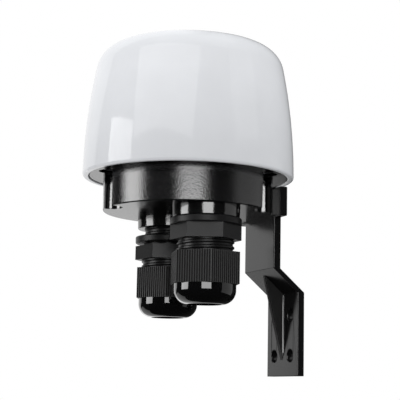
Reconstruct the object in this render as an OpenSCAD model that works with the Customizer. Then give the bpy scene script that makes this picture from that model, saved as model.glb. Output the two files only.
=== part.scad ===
// Photocell switch: an opal cover on a black base with two cable glands, held by a stepped wall bracket.
// Millimetres, +Z up. The origin is the centre of the four wall holes on the back face of the bracket,
// +Y goes into the wall, and the upright axis of the cover and base stands in front of it.

/* [Cover] */
// Outer radius of the cover at its rim
cover_r = 39; // [37:0.5:42]
// Height of the cover from rim to crown
cover_h = 52.7; // [48:0.1:60]
// Wall of the cover
cover_wall = 2.3; // [1.6:0.1:2.8]
// Radius of the barrelled side in profile
side_r = 212; // [170:2:300]
// Radius of the rounded shoulder
shoulder_r = 10; // [6:0.5:14]
// Radius of the shallow crown
crown_r = 106; // [90:2:140]
// Rounding of the outer edge of the rim
rim_round = 0.9; // [0.4:0.1:1.2]
// Rounding of the inner edge of the rim
lip_round = 0.4; // [0.2:0.1:0.6]
// Height of the ledge that presses on the seal
ledge_h = 2.5; // [1.5:0.1:4]
// Radius of the screw pillars
pillar_r = 3; // [2.5:0.1:3.3]

/* [Base] */
// How far the cover stands out beyond the base cup
cover_over = 7.9; // [7:0.1:9]
// How much wider the cup is at its top
base_draft = 0.25; // [0.1:0.05:0.5]
// Rounding of the bottom edge of the cup
base_round = 0.5; // [0.2:0.1:1]
// Depth of the base below the cover's rim
base_h = 12.7; // [12.2:0.1:13.6]
// Wall of the base cup
base_wall = 2.4; // [1.8:0.1:2.8]
// Floor of the base cup
floor_t = 2.5; // [1.8:0.1:3]
// Thickness of the flange inside the rim
flange_t = 3.2; // [3:0.1:3.6]
// How far the flange is set up into the rim
flange_up = 0.4; // [0.3:0.1:1]
// Radius of the screw channels in the side
channel_r = 4.5; // [4:0.1:4.8]
// How far the screw axes lie inside the foot of the cup
channel_inset = 1.1; // [0.8:0.1:1.6]
// Thickness of the flange above the screw heads
screw_seat_t = 1; // [0.8:0.1:1.4]
// Radius of the two gland bosses
boss_r = 12; // [11.5:0.1:13]
// Height of the gland bosses below the floor
boss_h = 4.2; // [3:0.1:6]
// How much wider a boss is at its root
boss_draft = 0.25; // [0.1:0.05:0.4]
// Rounding of the lower edge of a boss
boss_round = 0.4; // [0.2:0.1:0.8]

/* [Seal and screws] */
// Height of the cover seal
seal_h = 1.6; // [1.2:0.1:2.4]
// Width of the cover seal
seal_w = 2; // [1.6:0.1:2.4]
// Shank radius of the cover screws
screw_r = 1.5; // [1.3:0.1:1.7]
// Length of the cover screws below the head
screw_len = 12; // [10:0.5:14]
// Head radius of the cover screws
head_r = 2.5; // [2.2:0.1:2.8]
// Head height of every screw
head_h = 1.5; // [1.2:0.1:1.8]

/* [Cable glands] */
// Distance between the two gland axes
gland_gap = 35.3; // [33:0.1:37]
// Hexagon across flats
hex_af = 22; // [21:0.1:23]
// Height of the hexagon
hex_h = 5.2; // [4:0.1:7]
// Radius of the entry thread
entry_r = 9.1; // [8.9:0.05:9.3]
// Length of the entry thread
entry_len = 8.4; // [7.6:0.1:8.8]
// Radius of the thread under the cap nut
cap_thread_r = 9.7; // [9.5:0.1:9.9]
// Length of the thread under the cap nut
cap_thread_len = 9.5; // [8.6:0.1:10.2]
// Radius of the cable hole in the rubber sleeve
cable_r = 4.5; // [3.5:0.1:5.5]
// Radius of the gland gasket
gasket_r = 12.75; // [12:0.05:13.5]
// Thickness of the gland gasket
gasket_t = 2.5; // [1.8:0.1:2.8]
// Rounding of the edges of the gland gasket
gasket_round = 0.4; // [0.2:0.1:0.6]
// Cap nut across flats
nut_af = 22.6; // [22.4:0.1:23.4]
// Height of the ribbed hexagon of the cap nut
nut_h = 11.3; // [10.8:0.1:13]
// Grooves between the ribs on one face of the cap nut
nut_grooves = 14; // [8:1:16]
// Depth of the grooves
groove_d = 0.4; // [0.2:0.05:0.5]
// Radius of the nose
nose_r = 11.1; // [10.8:0.1:11.4]
// Height of the nose
nose_h = 7; // [6.4:0.1:9]
// Radius of the rounding of the nose
nose_round = 5; // [3:0.1:5.2]
// Radius of the opening in the nose
mouth_r = 6.1; // [5.6:0.1:6.3]
// Bare thread above the front cap nut
front_bare = 4.4; // [3.2:0.1:5.2]
// Bare thread above the rear cap nut
rear_bare = 3.3; // [3:0.1:5.2]
// How far the rear gland is unscrewed
rear_drop = 4; // [3.6:0.1:4.8]
// Gap between the loose rear gasket and the hexagon below it
rear_gasket_gap = 1; // [0.4:0.1:1.2]
// Turn of the front hexagon about its axis
front_hex_turn = 5; // [0:1:59]
// Turn of the rear hexagon about its axis
rear_hex_turn = 10; // [0:1:59]
// Turn of the front cap nut about its axis
front_nut_turn = 46; // [0:1:59]
// Turn of the rear cap nut about its axis
rear_nut_turn = 34; // [0:1:59]

/* [Wall bracket] */
// Thickness of the strap
strap_t = 2.8; // [2.2:0.1:3.4]
// Width of the strap
strap_w = 25; // [22:0.5:28]
// Set-back of the lower leg behind the upper leg
strap_step = 10; // [8:0.5:14]
// Height of the slanting stretch
slant_h = 8.5; // [7:0.5:12]
// Length of the upper leg below the T head
upper_leg = 18.8; // [14:0.1:26]
// Width of the T head
tee_w = 35.2; // [32:0.2:38]
// Height of the T head
tee_h = 10.8; // [10:0.1:12]
// How far the T head stays below the cover's rim
tee_drop = 2.6; // [2.2:0.1:3]
// Distance of the wall holes across
hole_dx = 13; // [11:0.5:15]
// Distance of the wall holes in height
hole_dz = 15; // [13:0.5:20]
// Radius of the wall holes
hole_r = 2.4; // [2:0.1:2.6]
// From the lower holes to the foot of the strap
foot = 7.5; // [5:0.1:10]
// From the upper holes to the lower fold
shin = 8.1; // [6:0.1:12]
// Thickness of the gusset
gusset_t = 2; // [1.4:0.1:2.6]
// How far below the upper fold the gusset starts
gusset_drop = 1.7; // [1:0.1:3]
// How far the gusset runs down the lower leg
gusset_run = 24.5; // [18:0.5:28]

/* [Circuit board] */
// Thickness of the board
board_t = 1.6; // [1.2:0.1:2]
// Height of the posts above the floor
post_h = 11.4; // [10.4:0.1:11.8]
// Radius of the posts
post_r = 3; // [2.6:0.1:3.4]
// Radius of the wire passages in the board
passage_r = 5.5; // [4.5:0.1:6]
// Height of the light cell above the board
cell_h = 16; // [8:1:24]

/* [Hidden] */
$fn = 96;
// Overlap that lets cuts run past a face
past = 1;

// Named clearances
flange_gap = 0.3;
seal_gap = 0.1;
shank_gap = 0.05;
through_gap = 0.25;
thread_gap = 0.15;
sleeve_gap = 0.1;
board_gap = 0.7;

// Levels measured from the cover's rim
flange_top = flange_up + flange_t;
ledge_z = flange_top + seal_h;
floor_z = floor_t - base_h;
boss_z = -base_h - boss_h;
board_z = floor_z + post_h;
board_top = board_z + board_t;

// Radii about the upright axis
base_r = cover_r - cover_over;
cover_in_r = cover_r - cover_wall;
flange_r = cover_in_r - flange_gap;
seal_out_r = flange_r - seal_gap;
seal_in_r = seal_out_r - seal_w;
screw_pitch = base_r - channel_inset;
screw_seat_z = flange_top - screw_seat_t;
channel_wall = 2;
screw_end = 0.3;
pillar_cap = 1.5;
pillar_bore_h = screw_seat_z + screw_len + screw_end - ledge_z;
pillar_h = pillar_bore_h + pillar_cap;
pillar_rib = 2;
board_r = base_r - base_wall - board_gap;
notch_r = channel_r + channel_wall + board_gap;
post_margin = 0.4;
post_pitch = board_r - post_r - post_margin;
screw_turns = [-90, 45, 135];
post_turns = [90, -72, -108];

// The bracket seat on the base, and where the axis and rim stand in the frame of the wall holes
seat_in = 1.6;
seat_y = base_r - seat_in;
seat_t = 5;
tee_screw_x = 10;
seat_side = 4;
seat_w = 2 * (tee_screw_x + seat_side);
axis_y = seat_y + strap_step + strap_t;
foot_z = -hole_dz / 2 - foot;
fold_low_z = hole_dz / 2 + shin;
fold_high_z = fold_low_z + slant_h;
tee_z = fold_high_z + upper_leg;
tee_top_z = tee_z + tee_h;
rim_z = tee_top_z + tee_drop;
tee_screw_z = tee_z + tee_h / 2;
tee_screw_r = 1.6;
tee_screw_floor = 1;
tee_screw_len = strap_t + seat_t - tee_screw_floor;
tee_head_r = 3.2;
board_screw_r = 1.25;
board_screw_len = 7;
board_head_r = 2.5;
cross_w = 0.8;
cross_share = 0.55;

// Inside of the glands, measured from the top of the hexagon and from the top of the nut
entry_bore_r = 6.8;
sleeve_r = 7.3;
sleeve_z = -8;
sleeve_len = 13;
finger_r = 8.7;
finger_len = 4.8;
finger_slot = 1.2;
finger_count = 8;
thread_end_z = -hex_h - cap_thread_len;
nut_bore_r = cap_thread_r + thread_gap;
nut_bore_depth = 6.5;
chamber_r = 9.1;
chamber_depth = 11.4;
mouth_land = 1.2;
cone_depth = nut_h + nose_h - mouth_land;
groove_land = 0.1;

module at_axis() { translate([0, -axis_y, rim_z]) children(); }
module around(turns, pitch) { for (t = turns) rotate([0, 0, t]) translate([pitch, 0, 0]) children(); }
module tube(outer, inner, z0, z1) {
    rotate_extrude() translate([inner, z0]) square([outer - inner, z1 - z0]);
}
// Half section of a round foot, wider at its top by draft, with a rounded lower edge
module foot_section(r, draft, z0, z1, edge) {
    polygon([[0, z0], [r - edge, z0], [r, z0 + edge], [r + draft, z1], [0, z1]]);
    translate([r - edge, z0 + edge]) circle(r = edge);
}
// Half section of a ring with all four edges rounded
module soft_ring_section(outer, inner, z0, z1, edge) {
    translate([inner, z0 + edge]) square([outer - inner, z1 - z0 - 2 * edge]);
    translate([inner + edge, z0]) square([outer - inner - 2 * edge, z1 - z0]);
    for (x = [inner + edge, outer - edge], z = [z0 + edge, z1 - edge]) translate([x, z]) circle(r = edge);
}
// What is taken off a sharp lower corner at radius x to round it, towards the axis where way is -1
module corner_waste(x, way, edge) {
    translate([x + way * edge, 0]) difference() {
        translate([way > 0 ? -edge - past : 0, -past]) square([edge + past, edge + past]);
        translate([0, edge]) circle(r = edge);
    }
}
module pan_screw(r, len, head) {
    // Head below, shank upwards, with a cross recess in the head
    difference() {
        translate([0, 0, -head_h]) cylinder(r = head, h = head_h);
        for (t = [0, 90]) rotate([0, 0, t]) translate([-head * cross_share, -cross_w / 2, -head_h - past])
            cube([2 * head * cross_share, cross_w, past + head_h / 2]);
    }
    cylinder(r = r, h = len);
}

// Cover: side arc, shoulder arc and crown arc, all concentric for the inside and the outside
side_c = [cover_r - side_r, 0];
crown_c = [0, cover_h - crown_r];
function meet(p, rp, q, rq) =
    let(d = norm(q - p), e = (q - p) / d)
    let(along = (d * d + rp * rp - rq * rq) / (2 * d), up = sqrt(rp * rp - along * along))
    p + along * e + up * [e[1], -e[0]];
shoulder_c = meet(crown_c, crown_r - shoulder_r, side_c, side_r - shoulder_r);
side_end = atan2(shoulder_c[1] - side_c[1], shoulder_c[0] - side_c[0]);
crown_end = atan2(shoulder_c[1] - crown_c[1], shoulder_c[0] - crown_c[0]);
function ray(a, len) = shoulder_c + len * [cos(a), sin(a)];
module shoulder_wedge() {
    reach = 3 * shoulder_r;
    middle = (side_end + crown_end) / 2;
    polygon([shoulder_c, ray(side_end, reach), ray(middle, 1.4 * reach), ray(crown_end, reach)]);
}
module cover_section(inset) {
    intersection() {
        square([cover_r + past, cover_h + past]);
        union() {
            difference() {
                intersection() {
                    translate(side_c) circle(r = side_r - inset, $fn = 720);
                    translate(crown_c) circle(r = crown_r - inset, $fn = 360);
                }
                shoulder_wedge();
            }
            intersection() {
                translate(shoulder_c) circle(r = shoulder_r - inset);
                shoulder_wedge();
            }
        }
    }
}
module cover_shell() {
    color("#eef1f4") at_axis() difference() {
        union() {
            rotate_extrude() difference() {
                cover_section(0);
                cover_section(cover_wall);
                corner_waste(cover_r, -1, rim_round);
                corner_waste(cover_in_r, 1, lip_round);
            }
            tube(cover_in_r + cover_wall / 4, seal_in_r - seal_gap, ledge_z, ledge_z + ledge_h);
            around(screw_turns, screw_pitch) translate([0, 0, ledge_z]) {
                cylinder(r = pillar_r, h = pillar_h);
                translate([0, -pillar_rib / 2, 0])
                    cube([cover_in_r - screw_pitch, pillar_rib, pillar_bore_h]);
            }
        }
        around(screw_turns, screw_pitch) translate([0, 0, ledge_z - past])
            cylinder(r = screw_r + shank_gap, h = past + pillar_bore_h);
    }
}
module cover_seal() {
    color("#2b2b2b") at_axis() tube(seal_out_r, seal_in_r, flange_top, ledge_z);
}
module cover_screws() {
    color("#b8babd") at_axis() around(screw_turns, screw_pitch) translate([0, 0, screw_seat_z])
        pan_screw(screw_r, screw_len, head_r);
}

// Base: cup and flange with channels, bosses, board posts and the seat for the bracket
module base_housing() {
    color("#17181a") at_axis() difference() {
        union() {
            difference() {
                union() {
                    rotate_extrude() foot_section(base_r, base_draft, -base_h, flange_top, base_round);
                    translate([0, 0, flange_up]) cylinder(r = flange_r, h = flange_t);
                }
                translate([0, 0, floor_z]) cylinder(r = base_r - base_wall, h = base_h + flange_top);
            }
            intersection() {
                around(screw_turns, screw_pitch) translate([0, 0, -base_h])
                    cylinder(r = channel_r + channel_wall, h = base_h + flange_top);
                rotate_extrude() foot_section(base_r, base_draft, -base_h, flange_top, base_round);
            }
            around(post_turns, post_pitch) translate([0, 0, -base_h])
                cylinder(r = post_r, h = board_z + base_h);
            translate([-seat_w / 2, seat_y - seat_t, -base_h]) cube([seat_w, seat_t, base_h - tee_drop]);
            for (x = [-1, 1]) translate([x * gland_gap / 2, 0, 0]) rotate_extrude()
                foot_section(boss_r, boss_draft, boss_z, floor_z, boss_round);
        }
        around(screw_turns, screw_pitch) {
            translate([0, 0, -base_h - past]) cylinder(r = channel_r, h = base_h + past + screw_seat_z);
            cylinder(r = screw_r + through_gap, h = flange_top + past);
        }
        for (x = [-1, 1]) translate([x * gland_gap / 2, 0, boss_z - past])
            cylinder(r = entry_r + thread_gap, h = boss_h + floor_t + 2 * past);
        around(post_turns, post_pitch) translate([0, 0, board_z - board_screw_len])
            cylinder(r = board_screw_r + shank_gap, h = board_screw_len + past);
        translate([-base_r, seat_y, -base_h - past]) cube([2 * base_r, base_r, base_h + past + flange_up]);
        for (x = [-1, 1]) translate([x * tee_screw_x, seat_y + past, tee_screw_z - rim_z])
            rotate([90, 0, 0])
                cylinder(r = tee_screw_r + shank_gap, h = past + tee_screw_len - strap_t + screw_end);
    }
}

// Bracket: a stepped strap with a T head, four wall holes and a gusset in the step
function slant_front(z) = strap_t + strap_step * (z - fold_low_z) / slant_h;
module wall_bracket() {
    gusset_z = fold_high_z - gusset_drop;
    gusset_end = fold_low_z - gusset_run;
    color("#202123") difference() {
        union() {
            translate([strap_w / 2, 0, 0]) rotate([90, 0, -90]) linear_extrude(strap_w) polygon([
                [0, foot_z], [0, fold_low_z], [strap_step, fold_high_z], [strap_step, tee_top_z],
                [strap_step + strap_t, tee_top_z], [strap_step + strap_t, fold_high_z],
                [strap_t, fold_low_z], [strap_t, foot_z]]);
            translate([-tee_w / 2, -strap_step - strap_t, tee_z]) cube([tee_w, strap_t, tee_h]);
            translate([gusset_t / 2, 0, 0]) rotate([90, 0, -90]) linear_extrude(gusset_t) polygon([
                [strap_t / 2, gusset_end], [strap_t, gusset_end], [slant_front(gusset_z), gusset_z],
                [strap_t / 2, fold_low_z]]);
        }
        for (x = [-1, 1], z = [-1, 1]) translate([x * hole_dx / 2, past, z * hole_dz / 2])
            rotate([90, 0, 0]) cylinder(r = hole_r, h = strap_t + 2 * past);
        for (x = [-1, 1]) translate([x * tee_screw_x, past - strap_step, tee_screw_z]) rotate([90, 0, 0])
            cylinder(r = tee_screw_r + through_gap, h = strap_t + 2 * past);
    }
}
module bracket_screws() {
    color("#b8babd") for (x = [-1, 1]) translate([x * tee_screw_x, -strap_step, tee_screw_z])
        rotate([90, 0, 0]) pan_screw(tee_screw_r, tee_screw_len, tee_head_r);
}

// Glands: side is 1 for the front one and -1 for the rear one, which is partly unscrewed
function hex_z(side) = boss_z - gasket_t - (side > 0 ? 0 : rear_drop);
function nut_z(side) = hex_z(side) - hex_h - (side > 0 ? front_bare : rear_bare);
module at_gland(side, z) { at_axis() translate([side * gland_gap / 2, 0, z]) children(); }
module gland_body(side, turn) {
    color("#1c1c1e") at_gland(side, hex_z(side)) difference() {
        union() {
            cylinder(r = entry_r, h = entry_len);
            translate([0, 0, -hex_h]) rotate([0, 0, turn])
                cylinder(d = hex_af / cos(30), h = hex_h, $fn = 6);
            translate([0, 0, thread_end_z]) cylinder(r = cap_thread_r, h = cap_thread_len + past);
            translate([0, 0, thread_end_z - finger_len]) cylinder(r = finger_r, h = finger_len + past);
        }
        translate([0, 0, thread_end_z]) cylinder(r = entry_bore_r, h = entry_len - thread_end_z + past);
        translate([0, 0, thread_end_z - finger_len - past])
            cylinder(r = sleeve_r + sleeve_gap, h = sleeve_z - thread_end_z + finger_len + past);
        for (i = [0:finger_count - 1]) rotate([0, 0, i * 360 / finger_count])
            translate([0, -finger_slot / 2, thread_end_z - finger_len - past])
                cube([cap_thread_r, finger_slot, finger_len + past]);
    }
}
module gland_gasket(side, gap) {
    color("#2a2b2c") at_gland(side, hex_z(side) + gap) rotate_extrude()
        soft_ring_section(gasket_r, entry_r + thread_gap, 0, gasket_t, gasket_round);
}
module gland_seal(side) {
    color("#262626") at_gland(side, hex_z(side) + sleeve_z) tube(sleeve_r, cable_r, -sleeve_len, 0);
}
// Hexagon with a row of grooves in each face, each groove given as shares of its pitch and depths
groove_shape = [[0.125, 0], [0.325, 1], [0.675, 1], [0.875, 0]];
function ribbed_hexagon(af, count, depth) =
    let(half = af / 2 * tan(30), pitch = 2 * (half - groove_land) / count)
    [for (face = [0:5], rib = [0:count - 1], corner = groove_shape)
        let(along = -half + groove_land + (rib + corner[0]) * pitch)
        let(out = af / 2 - depth * corner[1], a = 60 * face + 30)
        [out * cos(a) - along * sin(a), out * sin(a) + along * cos(a)]];
module nose_section() {
    end = -nut_h - nose_h;
    translate([0, end + nose_round]) square([nose_r, nose_h - nose_round]);
    translate([0, end]) square([nose_r - nose_round, nose_h + past]);
    translate([nose_r - nose_round, end + nose_round]) circle(r = nose_round);
}
module gland_nut(side, turn) {
    end = -nut_h - nose_h;
    color("#19191b") at_gland(side, nut_z(side)) difference() {
        union() {
            translate([0, 0, -nut_h]) rotate([0, 0, turn]) linear_extrude(nut_h)
                polygon(ribbed_hexagon(nut_af, nut_grooves, groove_d));
            rotate_extrude() nose_section();
        }
        rotate_extrude() polygon([[0, past], [nut_bore_r, past], [nut_bore_r, -nut_bore_depth],
            [chamber_r, -nut_bore_depth], [chamber_r, -chamber_depth], [mouth_r, -cone_depth],
            [mouth_r, end - past], [0, end - past]]);
    }
}
module front_gland_body() { gland_body(1, front_hex_turn); }
module rear_gland_body() { gland_body(-1, rear_hex_turn); }
module front_gland_gasket() { gland_gasket(1, 0); }
module rear_gland_gasket() { gland_gasket(-1, rear_gasket_gap); }
module front_gland_seal() { gland_seal(1); }
module rear_gland_seal() { gland_seal(-1); }
module front_gland_nut() { gland_nut(1, front_nut_turn); }
module rear_gland_nut() { gland_nut(-1, rear_nut_turn); }

// Circuit board and what is soldered to it
module on_board(place) { at_axis() translate([place[0], place[1], board_top]) children(); }
module standing_box(size) { translate([-size[0] / 2, -size[1] / 2, 0]) cube(size); }
lead_r = 0.35;
lead_in = 0.5;
module leg(x, y, len) { translate([x, y, 0]) cylinder(r = lead_r, h = len, $fn = 24); }
module axial_part(body_r, body_len, span) {
    // Lies along X with its two leads bent down to the board
    translate([-body_len / 2, 0, body_r]) rotate([0, 90, 0]) cylinder(r = body_r, h = body_len);
    for (end = [-1, 1]) {
        leg(end * span / 2, 0, body_r + lead_r);
        translate([end * span / 2, 0, body_r]) rotate([0, -90 * end, 0])
            cylinder(r = lead_r, h = span / 2 - body_len / 2 + lead_in, $fn = 24);
    }
}
module circuit_board() {
    color("#1f6b3a") at_axis() difference() {
        translate([0, 0, board_z]) cylinder(r = board_r, h = board_t);
        for (side = [-1, 1]) {
            translate([side * gland_gap / 2, 0, board_z - past])
                cylinder(r = passage_r, h = board_t + 2 * past);
            translate([side * (gland_gap / 2 + board_r / 2), 0, board_z + board_t / 2])
                cube([board_r, 2 * passage_r, board_t + 2 * past], center = true);
        }
        around(post_turns, post_pitch) translate([0, 0, board_z - past])
            cylinder(r = board_screw_r + through_gap, h = board_t + 2 * past);
        around(screw_turns, screw_pitch) translate([0, 0, board_z - past])
            cylinder(r = notch_r, h = board_t + 2 * past);
    }
}
module board_screws() {
    color("#c9cbce") at_axis() around(post_turns, post_pitch) translate([0, 0, board_top]) mirror([0, 0, 1])
        pan_screw(board_screw_r, board_screw_len, board_head_r);
}
relay_at = [0, -2];
relay_size = [19, 15.4, 15.6];
module relay() {
    color("#2456a8") on_board(relay_at) standing_box(relay_size);
}
block_at = [0, 14.2];
block_size = [15.2, 8, 10];
block_ways = 3;
block_screw_r = 1.6;
block_screw_drop = 0.6;
block_slot = [0.6, 0.8];
wire_way = 3;
wire_way_up = 1.2;
module each_way() {
    pitch = block_size[0] / block_ways;
    for (i = [0:block_ways - 1]) translate([(i - (block_ways - 1) / 2) * pitch, 0, 0]) children();
}
module terminal_block() {
    color("#3f8f5a") on_board(block_at) difference() {
        standing_box(block_size);
        each_way() translate([0, 0, block_size[2] / 2])
            cylinder(r = block_screw_r + shank_gap, h = block_size[2]);
        each_way() translate([-wire_way / 2, 0, wire_way_up]) cube([wire_way, block_size[1], wire_way]);
    }
}
module terminal_screws() {
    top = block_size[2] / 2 - block_screw_drop;
    color("#c9cbce") on_board(block_at) each_way() translate([0, 0, block_size[2] / 2]) difference() {
        cylinder(r = block_screw_r, h = top);
        translate([-block_screw_r - past, -block_slot[0] / 2, top - block_slot[1]])
            cube([2 * block_screw_r + 2 * past, block_slot[0], block_slot[1] + past]);
    }
}
cell_at = [-17, 10];
cell_r = 2.55;
cell_t = 2.1;
cell_lead_x = 1.7;
module light_cell() {
    color("#c98b4a") on_board(cell_at) {
        translate([0, 0, cell_h]) cylinder(r = cell_r, h = cell_t);
        for (x = [-1, 1]) leg(x * cell_lead_x, 0, cell_h + lead_in);
    }
}
film_at = [0, -14.4];
film_size = [17, 6, 12];
module dropper_capacitor() {
    color("#b3382c") on_board(film_at) standing_box(film_size);
}
can_at = [17, 10.2];
can_r = 4;
can_h = 12;
can_groove_z = 1.4;
can_groove_h = 0.8;
can_groove_d = 0.3;
module smoothing_capacitor() {
    color("#22304f") on_board(can_at) difference() {
        cylinder(r = can_r, h = can_h);
        tube(can_r + past, can_r - can_groove_d, can_groove_z, can_groove_z + can_groove_h);
    }
}
diode_at = [14.2, -8];
diode_count = 4;
diode_pitch = 2.8;
diode_r = 1.3;
diode_len = 5;
diode_span = 8;
module rectifier_diodes() {
    color("#2a2a2a") for (i = [0:diode_count - 1]) on_board(diode_at - [0, i * diode_pitch])
        axial_part(diode_r, diode_len, diode_span);
}
resistor_at = [4.8, 7.9];
resistor_r = 1.15;
resistor_len = 6;
resistor_span = 8.6;
module resistors() {
    color("#c7b083") for (side = [-1, 1]) on_board([side * resistor_at[0], resistor_at[1]])
        axial_part(resistor_r, resistor_len, resistor_span);
}
transistor_at = [-12.6, 7.8];
transistor_r = 2.35;
transistor_h = 4.8;
transistor_up = 3;
transistor_flat = 1.2;
transistor_lead_x = 1.27;
module transistor() {
    color("#222222") on_board(transistor_at) {
        translate([0, 0, transistor_up]) difference() {
            cylinder(r = transistor_r, h = transistor_h);
            translate([-transistor_r, -transistor_r - transistor_flat, -past])
                cube([2 * transistor_r, transistor_r, transistor_h + 2 * past]);
        }
        for (x = [-1, 0, 1]) leg(x * transistor_lead_x, 0, transistor_up + lead_in);
    }
}
disc_at = [-15.5, -12.5];
disc_r = 5;
disc_t = 4;
disc_up = 2;
disc_lead_x = 2.5;
module varistor() {
    color("#3d78b5") on_board(disc_at) {
        translate([0, disc_t / 2, disc_r + disc_up]) rotate([90, 0, 0]) cylinder(r = disc_r, h = disc_t);
        for (x = [-1, 1]) leg(x * disc_lead_x, 0, disc_r);
    }
}

cover_shell();
base_housing();
cover_seal();
cover_screws();
wall_bracket();
bracket_screws();
front_gland_body();
rear_gland_body();
front_gland_gasket();
rear_gland_gasket();
front_gland_seal();
rear_gland_seal();
front_gland_nut();
rear_gland_nut();
circuit_board();
board_screws();
relay();
terminal_block();
terminal_screws();
light_cell();
dropper_capacitor();
smoothing_capacitor();
rectifier_diodes();
resistors();
transistor();
varistor();
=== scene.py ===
import math

import bpy
from mathutils import Matrix, Vector


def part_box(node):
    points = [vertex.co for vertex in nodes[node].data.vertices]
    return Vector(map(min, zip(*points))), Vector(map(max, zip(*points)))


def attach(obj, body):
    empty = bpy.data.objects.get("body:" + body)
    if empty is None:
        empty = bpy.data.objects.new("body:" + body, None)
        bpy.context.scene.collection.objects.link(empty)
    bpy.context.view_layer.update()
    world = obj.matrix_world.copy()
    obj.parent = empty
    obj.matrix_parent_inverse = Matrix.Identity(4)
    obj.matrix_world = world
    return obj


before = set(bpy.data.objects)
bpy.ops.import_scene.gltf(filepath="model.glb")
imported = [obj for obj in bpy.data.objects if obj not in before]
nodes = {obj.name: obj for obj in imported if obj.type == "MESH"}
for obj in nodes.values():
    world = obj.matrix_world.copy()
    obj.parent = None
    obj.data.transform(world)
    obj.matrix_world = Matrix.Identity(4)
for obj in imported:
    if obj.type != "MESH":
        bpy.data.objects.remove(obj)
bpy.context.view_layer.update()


# Base housing
# A cup moulded in black polycarbonate, with a flange, two gland bosses and three screw channels.
# The side wall has a fine spark-eroded grain; floor and bosses are polished, the channels to a mirror.
MM = 0.001
cover_low, cover_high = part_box("cover_shell")
base_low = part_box("base_housing")[0]
axis = (cover_low + cover_high) / 2
COVER_OVER = 7.9 * MM
BASE_R = (cover_high.x - cover_low.x) / 2 - COVER_OVER
BASE_DRAFT = 0.25 * MM
WALL_SKIN = 0.1 * MM
BOSS_H = 4.2 * MM
CHANNEL_DEEP = 6.0 * MM
CHANNEL_FOOT = 0.5 * MM
MASK_BLUR = 0.05 * MM
FACING_DOWN = -0.95
FACING_ASIDE = -0.85
POLISHED = (0.003, 0.003, 0.0033, 1)
POLISHED_GLEAM = 0.11
GRAINED = (0.005, 0.005, 0.0055, 1)
GRAIN_GLEAM = 0.15
SIDE_GRAIN = 0.25
UNDER_GLEAM = 0.20
CHANNEL_GLEAM = 0.04
TONE_DRIFT = 0.08
GLOSS_DRIFT = 0.15


def make(tree, kind, values=(), **settings):
    """Adds a shader node with its settings, and sets each input or links it where the value is a socket."""
    shader = tree.nodes.new("ShaderNode" + kind)
    for key, value in settings.items():
        setattr(shader, key, value)
    for key, value in dict(values).items():
        if isinstance(value, bpy.types.NodeSocket):
            tree.links.new(value, shader.inputs[key])
        else:
            shader.inputs[key].default_value = value
    return shader


def ramp(tree, value, low, high, start=0.0, end=1.0):
    """Goes from start to end while the value goes from low to high."""
    limits = {"Value": value, "From Min": low, "From Max": high, "To Min": start, "To Max": end}
    return make(tree, "MapRange", limits).outputs["Result"]


def both(tree, one, other):
    """Mask that is 1 where both masks are."""
    return make(tree, "Math", {0: one, 1: other}, operation="MULTIPLY").outputs["Value"]


def between(tree, value, low, high, blur):
    """Mask that is 1 where the value lies between low and high."""
    return both(tree, ramp(tree, value, low - blur, low), ramp(tree, value, high, high + blur, 1.0, 0.0))


def split(tree, kind):
    """X, Y and Z of the surface point (Object) or of the way it faces (Normal), in the part's frame."""
    place = make(tree, "TexCoord")
    return make(tree, "SeparateXYZ", {"Vector": place.outputs[kind]}).outputs


def moulded_grain():
    """Group for moulded plastic: a fine Height for bump, and a broad Patch that shifts tone and gloss."""
    group = bpy.data.node_groups.new("moulded_grain", "ShaderNodeTree")
    for name, way in (("Grain per metre", "INPUT"), ("Height", "OUTPUT"), ("Patch", "OUTPUT")):
        group.interface.new_socket(name, in_out=way, socket_type="NodeSocketFloat")
    size = group.nodes.new("NodeGroupInput").outputs["Grain per metre"]
    end = group.nodes.new("NodeGroupOutput")
    point = make(group, "TexCoord").outputs["Object"]
    fine = make(group, "TexNoise", {"Vector": point, "Scale": size, "Detail": 2.0, "Roughness": 0.55})
    broad = make(group, "TexNoise", {"Vector": point, "Scale": 85.0, "Detail": 3.0, "Roughness": 0.5})
    group.links.new(fine.outputs["Fac"], end.inputs["Height"])
    group.links.new(broad.outputs["Fac"], end.inputs["Patch"])
    return group


GRAIN = moulded_grain()


def feed(material, name, value):
    """Links a value that changes over the surface to an input of the material's shader."""
    tree = material.node_tree
    tree.links.new(value, tree.nodes["Principled BSDF"].inputs[name])


def fed(material, name):
    """The value that an input of the material's shader takes so far."""
    return material.node_tree.nodes["Principled BSDF"].inputs[name].links[0].from_socket


def plastic(name, colour, gleam, specular, grain, relief, depth=0.05 * MM):
    """A moulded plastic: colour and gloss drift a little over the surface, and a fine grain lies on it."""
    material = bpy.data.materials.new(name)
    material.use_nodes = True
    tree = material.node_tree
    tree.nodes["Principled BSDF"].inputs["Specular IOR Level"].default_value = specular
    moulding = make(tree, "Group", {"Grain per metre": grain}, node_tree=GRAIN).outputs
    darker = [part * (1 - TONE_DRIFT) for part in colour[:3]] + [1]
    tone = make(tree, "MixRGB", {"Fac": moulding["Patch"], "Color1": darker, "Color2": colour})
    gloss = ramp(tree, moulding["Patch"], 0.0, 1.0, gleam * (1 - GLOSS_DRIFT), gleam * (1 + GLOSS_DRIFT))
    bump = make(tree, "Bump", {"Strength": relief, "Distance": depth, "Height": moulding["Height"]})
    feed(material, "Base Color", tone.outputs["Color"])
    feed(material, "Roughness", gloss)
    feed(material, "Normal", bump.outputs["Normal"])
    return material


def dress(material, *names):
    """Gives CAD nodes their finish."""
    for name in names:
        slots = nodes[name].data.materials
        slots.clear()
        slots.append(material)


def finish_or_shade_where(material, mask, gleam, colour):
    """Gives the surface another gloss and colour where the mask is 1, used both for finishes and for painted
    shade.
    """
    tree = material.node_tree
    gloss = ramp(tree, mask, 0.0, 1.0, fed(material, "Roughness"), gleam)
    tone = make(tree, "MixRGB", {"Fac": mask, "Color1": fed(material, "Base Color"), "Color2": colour})
    feed(material, "Roughness", gloss)
    feed(material, "Base Color", tone.outputs["Color"])


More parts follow.
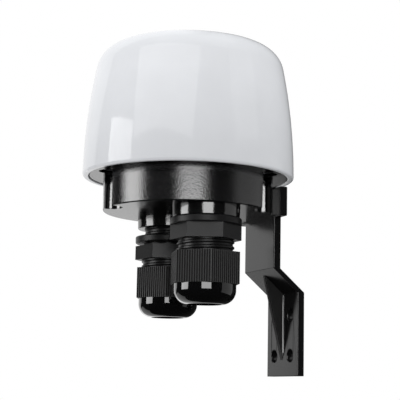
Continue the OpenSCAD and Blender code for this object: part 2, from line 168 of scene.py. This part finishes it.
def grain_where(material, mask):
    """Lets the grain stand out as far as the mask says: 1 in full, 0 not at all."""
    tree = material.node_tree
    height = tree.nodes["Bump"].inputs["Height"]
    tree.links.new(both(tree, height.links[0].from_socket, mask), height)


base_black = plastic("base_black", POLISHED, POLISHED_GLEAM, specular=1.0, grain=1700, relief=0.8,
                     depth=0.09 * MM)
tree = base_black.node_tree
point = make(tree, "TexCoord").outputs["Object"]
from_axis = make(tree, "VectorMath", {0: point, 1: (axis.x, axis.y, 0)}, operation="SUBTRACT")
level = make(tree, "VectorMath", {0: from_axis.outputs["Vector"], 1: (1, 1, 0)}, operation="MULTIPLY")
reach = make(tree, "VectorMath", {0: level.outputs["Vector"]}, operation="LENGTH").outputs["Value"]
on_wall = between(tree, reach, BASE_R - WALL_SKIN, BASE_R + BASE_DRAFT + MASK_BLUR, MASK_BLUR)
off_wall = between(tree, reach, BASE_R - CHANNEL_DEEP, BASE_R - WALL_SKIN - MASK_BLUR, MASK_BLUR)
underneath = ramp(tree, split(tree, "Normal")["Z"], FACING_DOWN, FACING_ASIDE, 1.0, 0.0)
channel_low = base_low.z + BOSS_H + CHANNEL_FOOT
above_floor = ramp(tree, split(tree, "Object")["Z"], channel_low - MASK_BLUR, channel_low)
in_channel = both(tree, above_floor, off_wall)
finish_or_shade_where(base_black, on_wall, GRAIN_GLEAM, GRAINED)
finish_or_shade_where(base_black, underneath, UNDER_GLEAM, POLISHED)
finish_or_shade_where(base_black, in_channel, CHANNEL_GLEAM, POLISHED)
feed(base_black, "Coat Weight", in_channel)
grain_where(base_black, ramp(tree, on_wall, 0.0, 1.0, SIDE_GRAIN, 1.0))
dress(base_black, "base_housing")


# Wall bracket
# A stepped strap with a T head and a gusset in its fold, moulded in black glass-filled nylon.
# Two screws through the T head hold it to the seat on the base; four holes take the wall screws.
STRAP_T = 2.8 * MM
FOLD_Z = 15.6 * MM
BRACKET_EDGE_R = 0.35 * MM
WELD_REACH = 0.001 * MM
GUSSET_T = 2.0 * MM
GUSSET_RUN = 24.5 * MM
GUSSET_ZONE = 1.2 * MM
GUSSET_BLUR = 0.1 * MM
FACING_FORE = 0.7
FACING_SIDE = 0.9
FILLET_R = 0.55 * MM
FILLET_START = 0.04
FILLET_GROWTH = 0.2
FILLET_SUNK = 0.05 * MM
BRACKET_BLACK = (0.005, 0.005, 0.0055, 1)
GUSSET_PAINTED_SHADE = (0.002, 0.002, 0.0022, 1)
GUSSET_GLEAM = 0.65
bracket_black = plastic("bracket_black", BRACKET_BLACK, gleam=0.19, specular=0.5, grain=1800, relief=0.10)
tree = bracket_black.node_tree
# Painted shade: the gusset's sides are coloured darker than the rest of the strap, as a painted dark
# reflection.
at_gusset = between(tree, split(tree, "Object")["X"], -GUSSET_ZONE, GUSSET_ZONE, GUSSET_BLUR)
sideways = make(tree, "Math", {0: split(tree, "Normal")["X"]}, operation="ABSOLUTE").outputs["Value"]
gusset_sides = both(tree, at_gusset, ramp(tree, sideways, FACING_FORE, FACING_SIDE))
finish_or_shade_where(bracket_black, gusset_sides, GUSSET_GLEAM, GUSSET_PAINTED_SHADE)
dress(bracket_black, "wall_bracket")

weld = nodes["wall_bracket"].modifiers.new("join_faces", "WELD")
weld.merge_threshold = WELD_REACH
rounding = nodes["wall_bracket"].modifiers.new("round_edges", "BEVEL")
rounding.width = BRACKET_EDGE_R
rounding.segments = 3
rounding.limit_method = "ANGLE"
rounding.angle_limit = math.radians(35)
rounding.harden_normals = True

fillet_polish = plastic("fillet_polish", BRACKET_BLACK, gleam=0.05, specular=1.0, grain=1800, relief=0.02)
fillet_polish.node_tree.nodes["Principled BSDF"].inputs["Coat Weight"].default_value = 1.0


def closed_strip(name, sections, material, crease):
    """A piece of its own on the fixed body, drawn through like sections and closed at both ends.

    Edges that turn by more than crease degrees stay sharp."""
    count = len(sections[0])
    last = count * (len(sections) - 1)
    faces = []
    for first in range(0, last, count):
        for k in range(count):
            n = (k + 1) % count
            faces.append((first + k, first + n, first + count + n, first + count + k))
    faces.append(tuple(reversed(range(count))))
    faces.append(tuple(range(last, last + count)))
    mesh = bpy.data.meshes.new(name)
    mesh.from_pydata([point for section in sections for point in section], [], faces)
    mesh.validate()
    mesh.shade_smooth()
    mesh.set_sharp_from_angle(angle=math.radians(crease))
    mesh.materials.append(material)
    piece = bpy.data.objects.new(name, mesh)
    bpy.context.scene.collection.objects.link(piece)
    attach(piece, "root")


def fillet(name, side):
    """The hollow rounding between one side of the gusset and the lower leg, fading out at its foot."""
    rows = 24
    steps = 8
    root_x = GUSSET_T / 2 - FILLET_SUNK
    root_y = -STRAP_T + FILLET_SUNK
    sections = []
    for i in range(rows + 1):
        climb = GUSSET_RUN * (FILLET_START + (1 - FILLET_START) * i / rows)
        radius = min(FILLET_R, FILLET_GROWTH * climb) + FILLET_SUNK
        z = FOLD_Z - GUSSET_RUN + climb
        section = [(side * root_x, root_y, z)]
        for k in range(steps + 1):
            turn = math.radians(90 * k / steps)
            x = root_x + radius * (1 - math.cos(turn))
            section.append((side * x, root_y - radius * (1 - math.sin(turn)), z))
        sections.append(section[::side])
    closed_strip(name, sections, fillet_polish, crease=40)


fillet("gusset_fillet_right", 1)
fillet("gusset_fillet_left", -1)


# Screws
# Zinc-plated steel pan-head screws: three draw the cover down, two hold the bracket, three the board.
# The terminal clamps have slotted screws of the same finish.
ZINC = (0.72, 0.73, 0.74, 1)
screw_zinc = plastic("screw_zinc", ZINC, gleam=0.38, specular=0.5, grain=900, relief=0.15)
screw_zinc.node_tree.nodes["Principled BSDF"].inputs["Metallic"].default_value = 1.0
dress(screw_zinc, "bracket_screws", "cover_screws", "board_screws", "terminal_screws")


# Gland gaskets and seals
# Flat rings of black rubber under the gland hexagons, rubber sleeves that grip the cable,
# and the ring between flange and cover. All are moulded and stay matt.
RUBBER_BLACK = (0.007, 0.007, 0.0075, 1)
rubber = plastic("gasket_rubber", RUBBER_BLACK, gleam=0.38, specular=0.22, grain=1500, relief=0.2)
dress(rubber, "front_gland_gasket", "rear_gland_gasket", "front_gland_seal", "rear_gland_seal", "cover_seal")


# Gland bodies
# Black nylon bodies with a hexagon between two threads. The front one is screwed home,
# the rear one is partly unscrewed, so that its entry thread and loose gasket show.
HEX_H = 5.2 * MM
ENTRY_LEN = 8.4 * MM
ENTRY_ROOT = 9.0 * MM
ENTRY_CREST = 9.4 * MM
CAP_ROOT = 9.6 * MM
CAP_CREST = 10.25 * MM
THREAD_PITCH = 2.0 * MM
RIDGE_FOOT = 1.5 * MM
RIDGE_TOP = 0.5 * MM
RUN_IN = 0.45 * RIDGE_FOOT
NYLON_BLACK = (0.006, 0.006, 0.0065, 1)
gland_nylon = plastic("gland_nylon", NYLON_BLACK, gleam=0.34, specular=0.24, grain=1600, relief=0.12)
dress(gland_nylon, "front_gland_body", "rear_gland_body")


def thread(name, centre, root, crest, low, high):
    """A helical ridge on a cylinder, which runs a little into the pieces above and below."""
    steps = 96
    turns = (high - low + 2 * RUN_IN) / THREAD_PITCH
    ridge = ((root, -RIDGE_FOOT / 2), (crest, -RIDGE_TOP / 2), (crest, RIDGE_TOP / 2), (root, RIDGE_FOOT / 2))
    sections = []
    for i in range(int(steps * turns) + 1):
        turn = 2 * math.pi * i / steps
        z = low - RUN_IN + THREAD_PITCH * i / steps
        sections.append([(centre.x + radius * math.cos(turn), centre.y + radius * math.sin(turn), z + dz)
                         for radius, dz in ridge])
    closed_strip(name, sections, gland_nylon, crease=35)


for side in ("front", "rear"):
    nut_low, nut_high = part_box(side + "_gland_nut")
    centre = (nut_low + nut_high) / 2
    hex_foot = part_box(side + "_gland_body")[1].z - ENTRY_LEN - HEX_H
    thread(side + "_cap_thread", centre, CAP_ROOT, CAP_CREST, nut_high.z, hex_foot)
    if side == "rear":
        gasket_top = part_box(side + "_gland_gasket")[1].z
        thread("rear_entry_thread", centre, ENTRY_ROOT, ENTRY_CREST, gasket_top, base_low.z)


# Gland nuts
# Cap nuts moulded in black nylon: a ribbed hexagon for the grip and a polished round nose
# that squeezes the sleeve on the cable when the nut is screwed up.
NOSE_H = 7.0 * MM
NOSE_BLUR = 0.02 * MM
GROOVE_REACH = 0.8 * MM
GROOVE_EDGE = 0.9
GROOVE_BOTTOM = 0.45
NOSE_BLACK = (0.003, 0.003, 0.0033, 1)
NOSE_GLEAM = 0.05
RIB_BLACK = (0.041, 0.041, 0.041, 1)
RIB_GLEAM = 0.45
GROOVE_PAINTED_SHADE = (0.001, 0.001, 0.0011, 1)
GROOVE_GLEAM = 0.95
for name in ("front_gland_nut", "rear_gland_nut"):
    nylon = name.replace("gland_nut", "nut_nylon")
    nut_nylon = plastic(nylon, NOSE_BLACK, NOSE_GLEAM, specular=0.25, grain=1600, relief=0.15)
    tree = nut_nylon.node_tree
    nose_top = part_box(name)[0].z + NOSE_H
    on_ribs = ramp(tree, split(tree, "Object")["Z"], nose_top - NOSE_BLUR, nose_top)
    # Painted shade: the grooves between the ribs are coloured darker where ambient occlusion finds them
    # closed in.
    openness = make(tree, "AmbientOcclusion", {"Distance": GROOVE_REACH}, samples=8, only_local=True)
    in_groove = both(tree, on_ribs, ramp(tree, openness.outputs["AO"], GROOVE_EDGE, GROOVE_BOTTOM))
    finish_or_shade_where(nut_nylon, on_ribs, RIB_GLEAM, RIB_BLACK)
    finish_or_shade_where(nut_nylon, in_groove, GROOVE_GLEAM, GROOVE_PAINTED_SHADE)
    feed(nut_nylon, "Coat Weight", ramp(tree, on_ribs, 0.0, 1.0, 1.0, 0.0))
    grain_where(nut_nylon, on_ribs)
    dress(nut_nylon, name)


# Circuit board and its parts
# A green fibreglass board on three posts in the base carries the switching circuit.
# The parts on it are usual ones, soldered by their leads.
for name, board_nodes, colour, gleam in (
        ("board_green", ["circuit_board"], (0.02, 0.14, 0.05, 1), 0.35),
        ("relay_case", ["relay"], (0.02, 0.09, 0.36, 1), 0.25),
        ("terminal_plastic", ["terminal_block"], (0.05, 0.27, 0.1, 1), 0.4),
        ("cell_resin", ["light_cell"], (0.55, 0.26, 0.07, 1), 0.12),
        ("film_box", ["dropper_capacitor"], (0.45, 0.04, 0.025, 1), 0.25),
        ("can_sleeve", ["smoothing_capacitor"], (0.015, 0.03, 0.08, 1), 0.2),
        ("diode_epoxy", ["rectifier_diodes", "transistor"], (0.025, 0.025, 0.025, 1), 0.45),
        ("resistor_lacquer", ["resistors"], (0.56, 0.43, 0.22, 1), 0.25),
        ("varistor_epoxy", ["varistor"], (0.045, 0.19, 0.46, 1), 0.3)):
    dress(plastic(name, colour, gleam, specular=0.5, grain=1200, relief=0.1), *board_nodes)


# Cover
# A deep cap moulded in opal polycarbonate, which lets daylight reach the cell. Three screws from below draw
# it down on the seal. Painted shade darkens its colour towards the rim, for the black flange behind the wall.
OPAL_WHITE = (0.80, 0.815, 0.845, 1)
RIM_SHADE = 0.86
SHADE_REACH = 34 * MM
opal = plastic("opal", OPAL_WHITE, gleam=0.06, specular=0.25, grain=700, relief=0.03)
tree = opal.node_tree
# Painted shade: the base colour falls from full at SHADE_REACH above the rim to RIM_SHADE at the rim.
painted_rim_shade = ramp(tree, split(tree, "Object")["Z"], cover_low.z, cover_low.z + SHADE_REACH, RIM_SHADE, 1.0)
tones = {"Fac": 1.0, "Color1": fed(opal, "Base Color"), "Color2": painted_rim_shade}
feed(opal, "Base Color", make(tree, "MixRGB", tones, blend_type="MULTIPLY").outputs["Color"])
dress(opal, "cover_shell")


# Camera
# It stands low in front of the right side, looking up a little, as for a product picture.
# A long lens from some way off keeps the outline of the cover nearly true.
AZIMUTH = math.radians(67.15)
ELEVATION = math.radians(-9.01)
ROLL = math.radians(1.1)
DISTANCE = 0.4514
AIM = Vector((0.00645, -0.04004, 0.04788))
UP = Vector((0, 0, 1))
flat = Vector((math.sin(AZIMUTH), -math.cos(AZIMUTH), 0))
across = UP.cross(flat)
toward_camera = flat * math.cos(ELEVATION) + UP * math.sin(ELEVATION)
lens_up = toward_camera.cross(across)
rolled_right = across * math.cos(ROLL) + lens_up * math.sin(ROLL)
rolled_up = lens_up * math.cos(ROLL) - across * math.sin(ROLL)
lens = bpy.data.cameras.new("camera")
lens.lens = 111.2
lens.sensor_width = 36
camera = bpy.data.objects.new("camera", lens)
turn = Matrix((rolled_right, rolled_up, toward_camera)).transposed()
camera.matrix_world = Matrix.Translation(AIM + toward_camera * DISTANCE) @ turn.to_4x4()
bpy.context.scene.collection.objects.link(camera)
bpy.context.scene.camera = camera


# Floor
# A pale matt sheet of paper some way below the object, which hangs on its bracket.
# It takes the shadow, and is kept out of the light on the object and out of its reflections.
FLOOR_Z = -0.10
FLOOR_SIZE = 1.5
PAPER_GREY = (0.62, 0.62, 0.62, 1)
bpy.ops.mesh.primitive_plane_add(size=FLOOR_SIZE, location=(axis.x, axis.y, FLOOR_Z))
floor = bpy.context.object
floor.name = "floor"
floor_paper = plastic("floor_paper", PAPER_GREY, gleam=0.8, specular=0.1, grain=300, relief=0.05)
floor.data.materials.append(floor_paper)
floor.visible_diffuse = False
floor.visible_glossy = False


# Studio light
# Softboxes and cards that show only as highlights, one lamp overhead that also lights the object, and a
# white sweep at the back left. The fill comes from the room, which is darker in front and below.
SWEEP_SIDE = -172
SWEEP_HEIGHT = 30
SWEEP_REACH = 51.2
SWEEP_BLUR = 1.0
SWEEP_END = 0.09
SWEEP_FULL = -0.05
ROOM_GLOSS = 0.02
FILL_SIDE = -140
FILL_HEIGHT = 45
FILL_LOW = 0.64
FILL_HIGH = 1.13


def direction(side, height):
    """From the object: side in degrees to the right of the camera, height in degrees above the horizon."""
    a = math.radians(side)
    e = math.radians(height)
    return (flat * math.cos(a) + across * math.sin(a)) * math.cos(e) + UP * math.sin(e)


def softbox(name, side, low, high, spread, distance, radiance, fills=False):
    """An area lamp that fills an angle of spread by (high - low) degrees as seen from the object.

    One that does not fill shows only as a highlight in glossy surfaces."""
    lamp = bpy.data.lights.new(name, "AREA")
    lamp.shape = "RECTANGLE"
    lamp.size = 2 * distance * math.tan(math.radians(spread / 2))
    lamp.size_y = 2 * distance * math.tan(math.radians((high - low) / 2))
    lamp.energy = radiance * math.pi * lamp.size * lamp.size_y
    out = direction(side, (low + high) / 2)
    box = bpy.data.objects.new(name, lamp)
    box.location = Vector((axis.x, axis.y, base_low.z)) + out * distance
    box.rotation_euler = out.to_track_quat("Z", "Y").to_euler()
    box.visible_camera = False
    box.visible_diffuse = fills
    bpy.context.scene.collection.objects.link(box)


softbox("left_softbox", side=-77, low=-6, high=21, spread=30, distance=0.7, radiance=5.6)
softbox("front_softbox", side=6, low=-5, high=11, spread=34, distance=0.8, radiance=5.6)
softbox("left_wall", side=-28, low=19, high=50, spread=63, distance=0.9, radiance=2.2)
softbox("right_wall", side=66, low=17, high=50, spread=28, distance=0.9, radiance=0.8)
softbox("low_card", side=-143, low=-50, high=-15, spread=50, distance=0.7, radiance=0.5)
softbox("side_card", side=92, low=-25, high=14, spread=56, distance=0.7, radiance=0.45)
softbox("top_softbox", side=10, low=50, high=95, spread=60, distance=0.7, radiance=0.3, fills=True)

world = bpy.data.worlds.new("studio")
bpy.context.scene.world = world
world.use_nodes = True
tree = world.node_tree
ray = make(tree, "TexCoord").outputs["Generated"]


def along(way):
    """How far the ray points that way: 1 along it, 0 across it, -1 against it."""
    return make(tree, "VectorMath", {0: ray, 1: way}, operation="DOT_PRODUCT").outputs["Value"]


sweep_edge = math.cos(math.radians(SWEEP_REACH + SWEEP_BLUR))
sweep_inside = math.cos(math.radians(SWEEP_REACH - SWEEP_BLUR))
in_sweep = ramp(tree, along(direction(SWEEP_SIDE, SWEEP_HEIGHT)), sweep_edge, sweep_inside)
at_left = ramp(tree, along(across), SWEEP_END, SWEEP_FULL)
mirrored = ramp(tree, both(tree, in_sweep, at_left), 0.0, 1.0, ROOM_GLOSS, 1.0)
fill = ramp(tree, along(direction(FILL_SIDE, FILL_HEIGHT)), -1.0, 0.0, FILL_LOW, FILL_HIGH)
path = make(tree, "LightPath").outputs
mirrors = make(tree, "Math", {0: path["Is Glossy Ray"], 1: path["Is Transmission Ray"]}, operation="MAXIMUM")
room = make(tree, "MixRGB", {"Fac": mirrors.outputs["Value"], "Color1": fill, "Color2": mirrored})
backdrop = {"Fac": path["Is Camera Ray"], "Color1": room.outputs["Color"], "Color2": (1, 1, 1, 1)}
seen = make(tree, "MixRGB", backdrop)
tree.links.new(seen.outputs["Color"], tree.nodes["Background"].inputs["Color"])
bpy.context.scene.view_settings.view_transform = "Standard"
